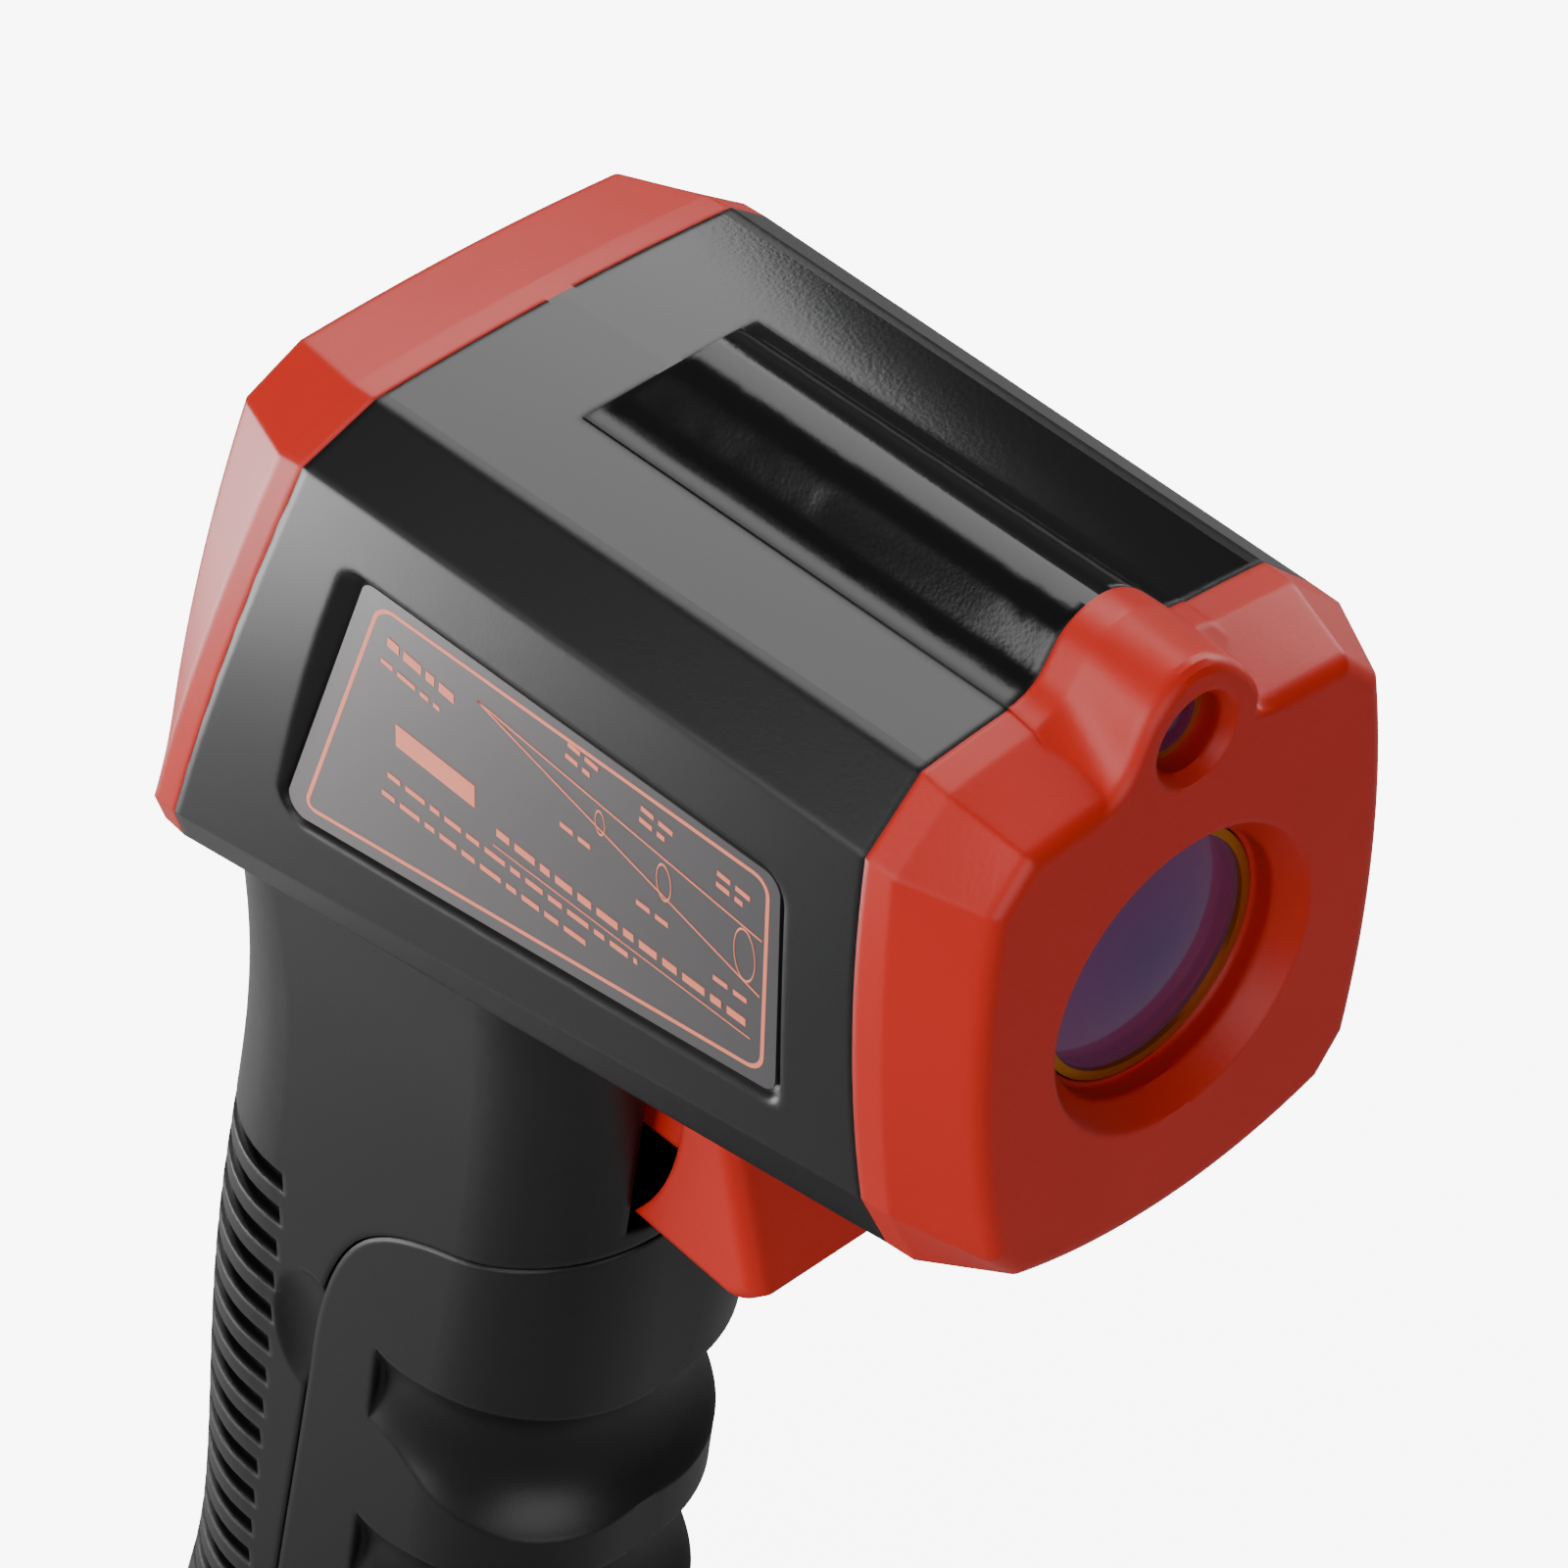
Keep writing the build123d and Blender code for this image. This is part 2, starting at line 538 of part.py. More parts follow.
def build_display():
    """Liquid-crystal panel and backlight in the frame that stands on the board."""
    top = PANEL_Y
    holder = plate(LCD_W + 3, LCD_H + 3, PCB_Y, top, WINDOW_Z, 1.0)
    holder -= plate(LCD_W, LCD_H, top - 4, top + 1, WINDOW_Z, 0.3)
    holder -= plate(LCD_W - 4, LCD_H - 4, PCB_Y - 1, top, WINDOW_Z, 0.3)
    save("lcd_holder", rear_plane(holder))
    save("lcd_panel", rear_plane(plate(LCD_W, LCD_H, top - 2, top, WINDOW_Z, 0.3)))
    save("backlight", rear_plane(plate(LCD_W, LCD_H, top - 4, top - 2, WINDOW_Z, 0.3)))


def build_board():
    """Main board, its parts, keypad membrane, buzzer and screws."""
    back = PCB_Y - BOARD
    board = plate(PCB_W, PCB_H, back, PCB_Y, PANEL_Z, 1.5)
    screws = Part()
    for x in (-POST_X, POST_X):
        for z in POST_Z:
            board -= disc_y(1.0, back - 1, PCB_Y + 1, z, x)
            screws += disc_y(0.8, back, PCB_Y + 4.5, z, x) + disc_y(1.7, back - 1.3, back, z, x)
    save("main_board", rear_plane(board))
    save("board_screws", rear_plane(screws))
    chips = Part()
    chips_laid = [(-5, -34, 9, 9, 1.4), (7, -30, 5, 4, 1.5), (6.5, -42, 3.2, 6, 1.8), (-9, -45, 4, 3, 1.2)]
    for x, z, w, h, t in chips_laid:
        chips += plate(w, h, back - t, back, z, 0.2).moved(Location((x, 0, 0)))
    save("board_chips", rear_plane(chips))
    buzzer = disc_y(5.0, back - 4.0, back, -18.0, 5.0) - disc_y(0.8, back - 5, back - 3, -18.0, 5.0)
    save("buzzer", rear_plane(buzzer))
    sheet = plate(27.0, 9.6, PCB_Y, PCB_Y + 0.5, KEY_Z, 1.0)
    for x in KEY_X:
        sheet += disc_y(2.2, PCB_Y + 0.5, PCB_Y + KEY_DOME, KEY_Z, x)
    save("keypad_membrane", rear_plane(sheet))


def build_buttons():
    """Three keys that travel along the display normal."""
    top = PANEL_Y + PANEL_THICK
    for name, x, r in zip(("left_button", "mode_button", "right_button"), KEY_X, KEY_R):
        cap = disc_y(r, PANEL_Y - 0.1, top + BUTTON_RISE, KEY_Z, x)
        rim = [e for e in cap.edges() if abs(e.center().Y - top - BUTTON_RISE) < 0.01]
        cap = fillet(rim, 0.5)
        cap += disc_y(r + 0.9, PANEL_Y - 0.9, PANEL_Y - 0.1, KEY_Z, x)
        cap += disc_y(1.4, PCB_Y + KEY_DOME + BUTTON_TRAVEL + 0.2, PANEL_Y - 0.5, KEY_Z, x)
        save(name, rear_plane(cap))


def build_trigger():
    """Trigger, its pin, torsion spring and the switch behind it."""
    py, pz = TRIGGER_PIVOT
    outline = [(2.8, pz), (2.6, -52.0), (2.2, -60.7), (-0.8, -74.6), (0.6, -75.9), (13.0, -74.9)]
    back = ThreePointArc((0, 13.0, -74.9), (0, 9.0, -68.4), (0, 7.4, -61.0))
    upper = Polyline((0, 7.4, -61.0), (0, 9.2, pz), (0, 2.8, pz))
    face = make_face(Wire([*Polyline(*[(0, y, z) for y, z in outline]).edges(), back, *upper.edges()]))
    blade = extrude(Pos(-TRIGGER_HALF, 0, 0) * face, 2 * TRIGGER_HALF, dir=(1, 0, 0))
    side = TRIGGER_HALF - 0.01
    outer = [e for e in blade.edges() if abs(e.center().X) > side]
    front = [e for e in outer if e.center().Y < 2.9 and e.center().Z < -50]
    blade = fillet(front, 1.6)
    blade += disc_x(HUB_R, -TRIGGER_HALF, TRIGGER_HALF, py, pz)
    blade += block(-STEM_HALF, STEM_HALF, 7.0, STEM_BACK, -66.0, -52.0)
    blade -= disc_x(HUB_R + 0.4, -COIL_HALF - 0.6, COIL_HALF + 0.6, py, pz)
    save("trigger", blade - disc_x(PIN_R + RUN, -10, 10, py, pz))
    save("trigger_pin", disc_x(PIN_R, -PIN_HALF, PIN_HALF, py, pz))
    coil_r = PIN_R + 0.9
    path = Pos(-COIL_HALF, py, pz) * Rot(0, 90, 0) * Helix(0.85, 2 * COIL_HALF, coil_r)
    wire = sweep(Plane(path @ 0, z_dir=path % 0) * Circle(0.25), path=path)
    save("trigger_spring", wire)
    y0, y1 = SWITCH_FRONT, SWITCH_FRONT + SWITCH_DEPTH
    save("trigger_switch", block(-3, 3, y0, y1, -62.5, -56.5) + disc_y(0.9, y0 - 0.6, y0, -59.5))


def coil(radius, wire, height, turns):
    """A round-wire spring standing on z = 0, inside its height."""
    path = Pos(0, 0, wire) * Helix((height - 2 * wire) / turns, height - 2 * wire, radius)
    return sweep(Plane(path @ 0, z_dir=path % 0) * Circle(wire), path=path)


def build_battery():
    """Two cells head to tail in a tray, with plates and springs."""
    wall = TRAY_WALL
    low, high = BAY_LOW - CONTACT - wall, BAY_TOP + CONTACT + wall
    tray = block(-TRAY_HALF, TRAY_HALF, TRAY_BACK, TRAY_BACK + wall, low, high)
    for z in (BAY_LOW - CONTACT - wall, BAY_TOP + CONTACT):
        tray += block(-TRAY_HALF, TRAY_HALF, CELL_Y - 3.0, TRAY_BACK + wall, z, z + wall)
    for sign in (-1, 1):
        x0, x1 = sorted((sign * (TRAY_HALF - 1.4), sign * TRAY_HALF))
        tray += block(x0, x1, TRAY_BACK, RAIL_Y, BAY_LOW, BAY_TOP)
    save("battery_tray", grip_frame(tray))
    plates = Part()
    cells = Part()
    springs = Part()
    for sign, up in ((-1, True), (1, False)):
        x = sign * CELL_X
        for z in (BAY_LOW - CONTACT, BAY_TOP):
            plates += block(x - 4, x + 4, CELL_Y - 3.0, TRAY_BACK, z, z + CONTACT)
        foot = BAY_LOW + (SPRING_ROOM if up else NUB)
        cell = Pos(x, CELL_Y, foot + CELL_LENGTH / 2) * Cylinder(CELL_R, CELL_LENGTH)
        nub_z = foot + CELL_LENGTH + NUB / 2 if up else foot - NUB / 2
        cells += cell + Pos(x, CELL_Y, nub_z) * Cylinder(1.9, NUB)
        spring_z = BAY_LOW if up else BAY_TOP - SPRING_ROOM
        springs += Pos(x, CELL_Y, spring_z) * coil(2.4, 0.35, SPRING_ROOM, 4)
    save("aaa_cells", grip_frame(cells))
    save("battery_contacts", grip_frame(plates))
    save("battery_springs", grip_frame(springs))
    save("door_hinge_pin", disc_x(HINGE_PIN, -13, 13, *HINGE))


def build_fasteners():
    """Five screws from the left side, in one node."""
    screws = Part()
    for y, z in SCREW_PLACES:
        screw = disc_x(SCREW_R, -SCREW_TIP + 0.5, SCREW_SEAT, y, z)
        screw += disc_x(SCREW_HEAD, SCREW_SEAT, SCREW_SEAT + 1.7, y, z)
        slot = block(SCREW_SEAT + 0.9, SCREW_SEAT + 3, y - 0.35, y + 0.35, z - 1.5, z + 1.5)
        slot += block(SCREW_SEAT + 0.9, SCREW_SEAT + 3, y - 1.5, y + 1.5, z - 0.35, z + 0.35)
        screws += screw - slot
    save("housing_screws", screws)


def build_labels():
    """Thin plates bonded in the side recesses."""
    for name, sign in (("right_label", -1), ("left_label", 1)):
        face = label_face(0.0, sign * LABEL_FLOOR, 1.5)
        save(name, extrude(face, LABEL_THICK, dir=(sign, 0, 0)))


build_shells()
build_front_bezel()
build_optics()
build_rear_bezel()
build_rear_panel()
build_display()
build_board()
build_buttons()
build_trigger()
build_battery()
build_fasteners()
build_labels()
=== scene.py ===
# %% [markdown]
# # A pistol infrared thermometer
# The CAD model gives every piece its size and place.  This lesson gives the pieces their
# finish: satin black and red moulded plastic, a printed side label, coated lenses and a lit
# display.  Everything is in metres, in the CAD model's own frame, with the lens facing -Y.

# %% Load the frame
import math
import bpy
from mathutils import Matrix, Vector


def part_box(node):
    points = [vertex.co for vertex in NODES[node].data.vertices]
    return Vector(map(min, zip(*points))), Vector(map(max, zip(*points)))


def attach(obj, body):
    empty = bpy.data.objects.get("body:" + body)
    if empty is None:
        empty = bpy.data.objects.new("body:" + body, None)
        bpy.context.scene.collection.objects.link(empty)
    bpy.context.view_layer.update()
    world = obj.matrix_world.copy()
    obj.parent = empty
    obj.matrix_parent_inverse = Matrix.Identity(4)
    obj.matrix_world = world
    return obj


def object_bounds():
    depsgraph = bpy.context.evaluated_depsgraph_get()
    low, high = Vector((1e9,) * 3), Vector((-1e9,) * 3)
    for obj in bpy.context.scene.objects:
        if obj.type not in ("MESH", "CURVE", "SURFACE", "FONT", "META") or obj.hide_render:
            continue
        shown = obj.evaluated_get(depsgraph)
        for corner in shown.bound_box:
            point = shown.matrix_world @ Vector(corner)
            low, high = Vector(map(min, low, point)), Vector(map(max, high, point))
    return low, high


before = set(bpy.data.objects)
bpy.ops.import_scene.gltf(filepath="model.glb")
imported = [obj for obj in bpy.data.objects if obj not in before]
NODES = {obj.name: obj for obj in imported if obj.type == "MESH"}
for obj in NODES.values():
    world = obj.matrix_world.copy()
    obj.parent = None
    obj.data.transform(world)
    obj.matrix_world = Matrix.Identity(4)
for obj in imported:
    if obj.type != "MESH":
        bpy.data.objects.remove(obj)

cad_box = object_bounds()
MM = 0.001
print("pieces from CAD:", len(NODES), "box:", cad_box)

# %% [markdown]
# ## Camera
# The camera stands high at the front left corner and looks down on the head.  A long lens from
# about half a metre keeps the edges of the head almost parallel.

# %% Camera
AZIMUTH, ELEVATION = math.radians(-42.6), math.radians(41.05)
DISTANCE = 0.458
BEHIND_NOSE, BELOW_TOP = 0.0393, 0.0354    # the point looked at, from the front and top of the box
low, high = (Vector(c) for c in cad_box)
target = Vector((-0.0001, low.y + BEHIND_NOSE, high.z - BELOW_TOP))
back = Vector((math.sin(AZIMUTH) * math.cos(ELEVATION), -math.cos(AZIMUTH) * math.cos(ELEVATION),
               math.sin(ELEVATION)))
camera_data = bpy.data.cameras.new("camera")
camera_data.sensor_width = 36.0
camera_data.lens = 148.35
camera_data.clip_start = 0.01
camera = bpy.data.objects.new("camera", camera_data)
bpy.context.scene.collection.objects.link(camera)
camera.location = target + back * DISTANCE
camera.rotation_euler = back.to_track_quat("Z", "Y").to_euler()
bpy.context.scene.camera = camera
print("camera at", [round(v, 3) for v in camera.location])

# %% [markdown]
# ## Nodes and colours
# Every finish below is a small tree of shader nodes.  One function adds a node, sets its inputs
# and links it; another turns the hex colours of a colour picker into the linear values that
# Blender mixes.

# %% Colour and node helpers
def linear(hex_colour):
    """An sRGB hex colour as linear RGBA."""
    parts = [int(hex_colour[i:i + 2], 16) / 255 for i in (1, 3, 5)]
    return tuple(c / 12.92 if c <= 0.04045 else ((c + 0.055) / 1.055) ** 2.4 for c in parts) + (1.0,)


def add(tree, kind, settings=None, **inputs):
    """Add a node, set its properties, and set or link its inputs.

    An input goes by its name, with _ for a space, or by its number, as i0."""
    node = tree.nodes.new("ShaderNode" + kind)
    for name, value in (settings or {}).items():
        setattr(node, name, value)
    for name, value in inputs.items():
        key = int(name[1:]) if name[0] == "i" and name[1:].isdigit() else name.replace("_", " ")
        if isinstance(value, bpy.types.NodeSocket):
            tree.links.new(value, node.inputs[key])
        else:
            node.inputs[key].default_value = value
    return node


def new_material(name):
    """An empty material with a principled shader; returns the material, its tree and shader."""
    material = bpy.data.materials.new(name)
    material.use_nodes = True
    tree = material.node_tree
    return material, tree, tree.nodes["Principled BSDF"]


def finish_node(node_name, material):
    """Give one CAD piece its finish."""
    piece = NODES[node_name]
    piece.data.materials.clear()
    piece.data.materials.append(material)


# %% [markdown]
# ## Moulded plastic
# The shells and the red bezels are injection-moulded ABS.  The tool is spark-eroded, which
# prints a very fine pebble on the plastic: it breaks reflections up a little, so the sheen is
# satin and never mirror-like.  Edges of a moulding are always slightly round, and the Bevel node
# bends the normals over them, so that each edge catches a thin highlight.

# %% Moulded ABS
POLISHED = 0.14            # roughness of the polished rib
RIB_HEIGHT = 5.9 * MM      # the rib stands this far above the head's flat top


def soft_edge(tree, place, edge_mm, seam_mm=1.2):
    """Normals rounded over the edges, but left flat at the split line, where the shells close tight."""
    rounded = add(tree, "Bevel", {"samples": 6}, Radius=edge_mm * MM).outputs[0]
    across = add(tree, "SeparateXYZ", Vector=place).outputs["X"]
    offset = add(tree, "Math", {"operation": "ABSOLUTE"}, i0=across).outputs[0]
    seam = add(tree, "Math", {"operation": "LESS_THAN"}, i0=offset, i1=seam_mm * MM).outputs[0]
    flat = add(tree, "NewGeometry").outputs["Normal"]
    return add(tree, "Mix", {"data_type": "VECTOR"}, i0=seam, i4=rounded, i5=flat).outputs[1]


def moulded_abs(name, colour, shade, roughness, grain_mm, grain_depth, edge_mm, polish_above=None):
    """Satin moulded ABS: a fine pebble, a little unevenness in tone and sheen, soft edges.

    Above the height polish_above the tool is polished, so the plastic there is glossy."""
    material, tree, shader = new_material(name)
    place = add(tree, "TexCoord").outputs["Object"]
    cloud = add(tree, "TexNoise", Vector=place, Scale=1 / (18 * MM), Detail=3.0).outputs["Fac"]
    tone = add(tree, "Mix", {"data_type": "RGBA"}, i0=cloud)
    tone.inputs[6].default_value = linear(colour)
    tone.inputs[7].default_value = linear(shade)
    tree.links.new(tone.outputs[2], shader.inputs["Base Color"])
    sheen = add(tree, "MapRange", Value=cloud)
    sheen.inputs["To Min"].default_value = roughness - 0.03
    sheen.inputs["To Max"].default_value = roughness + 0.03
    satin = sheen.outputs[0]
    if polish_above is not None:
        height = add(tree, "SeparateXYZ", Vector=place).outputs["Z"]
        polished = add(tree, "Math", {"operation": "GREATER_THAN"}, i0=height, i1=polish_above).outputs[0]
        satin = add(tree, "Mix", {"data_type": "FLOAT"}, i0=polished, i2=satin, i3=POLISHED).outputs[0]
    tree.links.new(satin, shader.inputs["Roughness"])
    shader.inputs["IOR"].default_value = 1.5
    shader.inputs["Specular IOR Level"].default_value = 0.4
    edge = soft_edge(tree, place, edge_mm)
    pebble = add(tree, "TexNoise", Vector=place, Scale=1 / (grain_mm * MM), Detail=2.0).outputs["Fac"]
    bump = add(tree, "Bump", Height=pebble, Strength=grain_depth, Distance=0.05 * MM, Normal=edge)
    tree.links.new(bump.outputs[0], shader.inputs["Normal"])
    return material


rib_foot = high.z - RIB_HEIGHT + 0.1 * MM
black_abs = moulded_abs("satin_black_moulded_ABS", "#0f0f10", "#0b0b0c", 0.33, 0.35, 0.12, 0.9, rib_foot)
door_abs = moulded_abs("satin_black_moulded_ABS_door", "#0e0e0f", "#0a0a0b", 0.36, 0.35, 0.14, 0.8)
red_abs = moulded_abs("satin_red_moulded_ABS", "#d02414", "#c21e10", 0.40, 0.45, 0.22, 0.7)
panel_abs = moulded_abs("fine_matt_black_ABS", "#101011", "#0c0c0d", 0.45, 0.3, 0.1, 0.3)
for name in ("right_housing", "left_housing"):
    finish_node(name, black_abs)
finish_node("battery_door", door_abs)
for name in ("front_bezel", "rear_bezel", "trigger"):
    finish_node(name, red_abs)
for name in ("rear_panel", "battery_tray"):
    finish_node(name, panel_abs)
print("moulded:", black_abs.name, red_abs.name, panel_abs.name)

# %% [markdown]
# ## Coated lenses and rings
# The big lens is an infrared window with an interference coating, which reflects violet and blue
# and shifts towards magenta at a slant.  The small one covers the laser.  Both sit in amber
# anodised rings.

# %% Lens coating
def coated_lens(name, face, slant, radius_mm, node_name):
    """A dark glass whose coating changes colour with the angle and towards the rim."""
    material, tree, shader = new_material(name)
    lo, hi = (Vector(c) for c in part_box(node_name))
    middle = (lo + hi) / 2
    place = add(tree, "TexCoord").outputs["Object"]
    centred = add(tree, "Mapping", {"vector_type": "POINT"}, Vector=place)
    centred.inputs["Location"].default_value = (-middle.x, -middle.y, -middle.z)
    distance = add(tree, "VectorMath", {"operation": "LENGTH"}, i0=centred.outputs[0]).outputs["Value"]
    rim = add(tree, "MapRange", Value=distance)
    rim.inputs["From Max"].default_value = radius_mm * MM
    ramp = add(tree, "ValToRGB", Fac=rim.outputs[0])
    stops = ramp.color_ramp.elements
    stops[0].position, stops[0].color = 0.0, linear(face)
    stops[1].position, stops[1].color = 1.0, linear(slant)
    facing = add(tree, "LayerWeight", Blend=0.45).outputs["Facing"]
    colour = add(tree, "Mix", {"data_type": "RGBA"}, i0=facing)
    tree.links.new(ramp.outputs[0], colour.inputs[6])
    colour.inputs[7].default_value = linear(slant)
    tree.links.new(colour.outputs[2], shader.inputs["Base Color"])
    tree.links.new(colour.outputs[2], shader.inputs["Specular Tint"])
    shader.inputs["Metallic"].default_value = 0.35
    shader.inputs["Roughness"].default_value = 0.12
    shader.inputs["Coat Weight"].default_value = 0.6
    shader.inputs["Coat Roughness"].default_value = 0.05
    return material


def anodised(name, colour, roughness, line_mm):
    """Turned and anodised metal: fine concentric tool lines under a coloured oxide."""
    material, tree, shader = new_material(name)
    place = add(tree, "TexCoord").outputs["Object"]
    lines = add(tree, "TexWave", {"bands_direction": "Y"}, Vector=place, Scale=1 / (line_mm * MM * 6),
                Distortion=0.4).outputs["Fac"]
    bump = add(tree, "Bump", Height=lines, Strength=0.15, Distance=0.02 * MM)
    tree.links.new(bump.outputs[0], shader.inputs["Normal"])
    shader.inputs["Base Color"].default_value = linear(colour)
    shader.inputs["Metallic"].default_value = 0.8
    shader.inputs["Roughness"].default_value = roughness
    return material


ir_coating = coated_lens("violet_coated_infrared_window", "#3c3578", "#7c4676", 9.0, "ir_lens")
laser_coating = coated_lens("violet_coated_laser_lens", "#33204a", "#6a3460", 2.4, "laser_lens")
finish_node("ir_lens", ir_coating)
finish_node("laser_lens", laser_coating)
amber = anodised("amber_anodised_ring", "#c07a18", 0.3, 0.25)
black_metal = anodised("black_anodised_aluminium", "#1c1c20", 0.4, 0.25)
brass = anodised("turned_brass", "#b08d4a", 0.3, 0.2)
for name, finish in (("lens_retaining_ring", amber), ("laser_ring", amber), ("lens_tube", black_metal),
                     ("laser_module", brass)):
    finish_node(name, finish)
print("optics:", ir_coating.name, amber.name, brass.name)

# %% [markdown]
# ## Metal, boards and rubber inside
# These pieces show when the battery door is open or through the display window.  Plated steel
# has a faint brushed grain, the boards are glass epoxy under green solder mask, and the keys are
# soft silicone rubber.

# %% Inner finishes
def plain_finish(name, colour, roughness, metallic=0.0, grain_mm=0.4, depth=0.1, stretch=(1, 1, 1)):
    """A finish with one colour and a real grain of the given size, stretched along one way."""
    material, tree, shader = new_material(name)
    place = add(tree, "TexCoord").outputs["Object"]
    turned = add(tree, "Mapping", Vector=place)
    turned.inputs["Scale"].default_value = stretch
    noise = add(tree, "TexNoise", Vector=turned.outputs[0], Scale=1 / (grain_mm * MM), Detail=2.0)
    grain = noise.outputs["Fac"]
    bump = add(tree, "Bump", Height=grain, Strength=depth, Distance=0.03 * MM)
    tree.links.new(bump.outputs[0], shader.inputs["Normal"])
    sheen = add(tree, "MapRange", Value=grain)
    sheen.inputs["To Min"].default_value = max(0.02, roughness - 0.06)
    sheen.inputs["To Max"].default_value = roughness + 0.06
    tree.links.new(sheen.outputs[0], shader.inputs["Roughness"])
    shader.inputs["Base Color"].default_value = linear(colour)
    shader.inputs["Metallic"].default_value = metallic
    return material


plated_steel = plain_finish("nickel_plated_steel", "#c9c9c6", 0.28, 1.0, 0.3, 0.15, (0.1, 1, 1))
spring_wire = plain_finish("drawn_spring_wire", "#bdbcb8", 0.25, 1.0, 0.2, 0.1, (1, 1, 0.1))
solder_mask = plain_finish("green_solder_mask", "#1d5a34", 0.3, 0.0, 0.8, 0.2)
chip_epoxy = plain_finish("moulded_chip_epoxy", "#202022", 0.6, 0.0, 0.15, 0.3)
key_rubber = plain_finish("moulded_silicone_rubber", "#2b2b2e", 0.55, 0.0, 0.3, 0.15)
membrane = plain_finish("translucent_silicone_sheet", "#c8c8c2", 0.5, 0.0, 0.5, 0.1)
sleeve = plain_finish("shrink_sleeve_film", "#26324a", 0.25, 0.0, 6.0, 0.1, (1, 1, 0.2))
light_guide = plain_finish("white_light_guide", "#e6e7e2", 0.5, 0.0, 0.5, 0.1)
inner = {
    plated_steel: ("board_screws", "housing_screws", "battery_contacts", "trigger_pin", "door_hinge_pin",
                   "ir_sensor"),
    spring_wire: ("trigger_spring", "battery_springs"),
    solder_mask: ("main_board", "sensor_board"),
    chip_epoxy: ("board_chips", "buzzer", "trigger_switch"),
    key_rubber: ("left_button", "mode_button", "right_button"),
    membrane: ("keypad_membrane",),
    sleeve: ("aaa_cells",),
    light_guide: ("backlight", "lcd_holder"),
}
for finish, names in inner.items():
    for name in names:
        finish_node(name, finish)
print("inner finishes:", len(inner))

# %% [markdown]
# ## Display
# The window is clear acrylic over a liquid-crystal panel that glows a pale green from behind.

# %% Window and panel
def clear_acrylic():
    """Clear moulded acrylic; thin, so it tints nothing."""
    material, tree, shader = new_material("clear_acrylic_window")
    place = add(tree, "TexCoord").outputs["Object"]
    wave = add(tree, "TexNoise", Vector=place, Scale=1 / (9 * MM)).outputs["Fac"]
    bump = add(tree, "Bump", Height=wave, Strength=0.03, Distance=0.05 * MM)
    tree.links.new(bump.outputs[0], shader.inputs["Normal"])
    shader.inputs["Roughness"].default_value = 0.03
    shader.inputs["IOR"].default_value = 1.49
    shader.inputs["Alpha"].default_value = 0.16
    return material


def lit_panel():
    """The panel's polariser: a pale glow, a little brighter in the middle."""
    material, tree, shader = new_material("backlit_display_polariser")
    lo, hi = (Vector(c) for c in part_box("lcd_panel"))
    middle = (lo + hi) / 2
    place = add(tree, "TexCoord").outputs["Object"]
    centred = add(tree, "Mapping", Vector=place)
    centred.inputs["Location"].default_value = (-middle.x, -middle.y, -middle.z)
    distance = add(tree, "VectorMath", {"operation": "LENGTH"}, i0=centred.outputs[0]).outputs["Value"]
    fade = add(tree, "MapRange", Value=distance)
    fade.inputs["From Max"].default_value = 16 * MM
    glow = add(tree, "ValToRGB", Fac=fade.outputs[0])
    glow.color_ramp.elements[0].color = linear("#cfe3b4")
    glow.color_ramp.elements[1].color = linear("#a9c48d")
    tree.links.new(glow.outputs[0], shader.inputs["Base Color"])
    tree.links.new(glow.outputs[0], shader.inputs["Emission Color"])
    shader.inputs["Emission Strength"].default_value = 0.35
    shader.inputs["Roughness"].default_value = 0.3
    return material


finish_node("display_window", clear_acrylic())
finish_node("lcd_panel", lit_panel())
print("display finished")

# %% [markdown]
# ## Side labels
# Each label is a polycarbonate film, dark grey and printed from behind, so the surface is smooth
# and glossy.  Its print is an outline, a diagram of the measured spot widening with distance, and
# plain bars where a real one carries its lines of text.

# %% Label film
def label_film_painted_reflection():
    """Dark film with a painted reflection: lighter towards the rear, where light from behind reflects off
    it, and a faint satin texture.
    """
    material, tree, shader = new_material("printed_polycarbonate_film_painted_reflection")
    lo, hi = (Vector(c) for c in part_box("right_label"))
    place = add(tree, "TexCoord").outputs["Object"]
    along = add(tree, "SeparateXYZ", Vector=place).outputs["Y"]
    fade = add(tree, "MapRange", Value=along)
    fade.inputs["From Min"].default_value = lo.y
    fade.inputs["From Max"].default_value = hi.y
    # painted reflection: the film's grey runs lighter towards the rear, standing in for light reflected off
    # it from behind
    tone = add(tree, "ValToRGB", Fac=fade.outputs[0])
    tone.color_ramp.elements[0].color = linear("#4d4b4d")
    tone.color_ramp.elements[1].color = linear("#686264")
    tree.links.new(tone.outputs[0], shader.inputs["Base Color"])
    grain = add(tree, "TexNoise", Vector=place, Scale=1 / (0.25 * MM)).outputs["Fac"]
    bump = add(tree, "Bump", Height=grain, Strength=0.05, Distance=0.02 * MM)
    tree.links.new(bump.outputs[0], shader.inputs["Normal"])
    shader.inputs["Roughness"].default_value = 0.3
    shader.inputs["IOR"].default_value = 1.58
    return material


film = label_film_painted_reflection()
for name in ("right_label", "left_label"):
    finish_node(name, film)
ink = plain_finish("screen_print_ink", "#ff8a6c", 0.45, 0.0, 0.2, 0.1)
key_ink = plain_finish("pad_print_ink", "#d9d9d4", 0.5, 0.0, 0.2, 0.1)
print("label film and inks")

# %% Modelling helpers
def start(kind, **where):
    """Add one primitive with nothing else selected and return it."""
    bpy.ops.object.select_all(action="DESELECT")
    getattr(bpy.ops.mesh, f"primitive_{kind}_add")(**where)
    return bpy.context.object


def join(pieces, name):
    """Join meshes into one piece whose place is in its mesh."""
    bpy.ops.object.select_all(action="DESELECT")
    for piece in pieces:
        piece.select_set(True)
    bpy.context.view_layer.objects.active = pieces[0]
    if len(pieces) > 1:
        bpy.ops.object.join()
    bpy.ops.object.transform_apply(location=True, rotation=True, scale=True)
    piece = bpy.context.object
    piece.name = name
    piece.data.name = name
    return piece


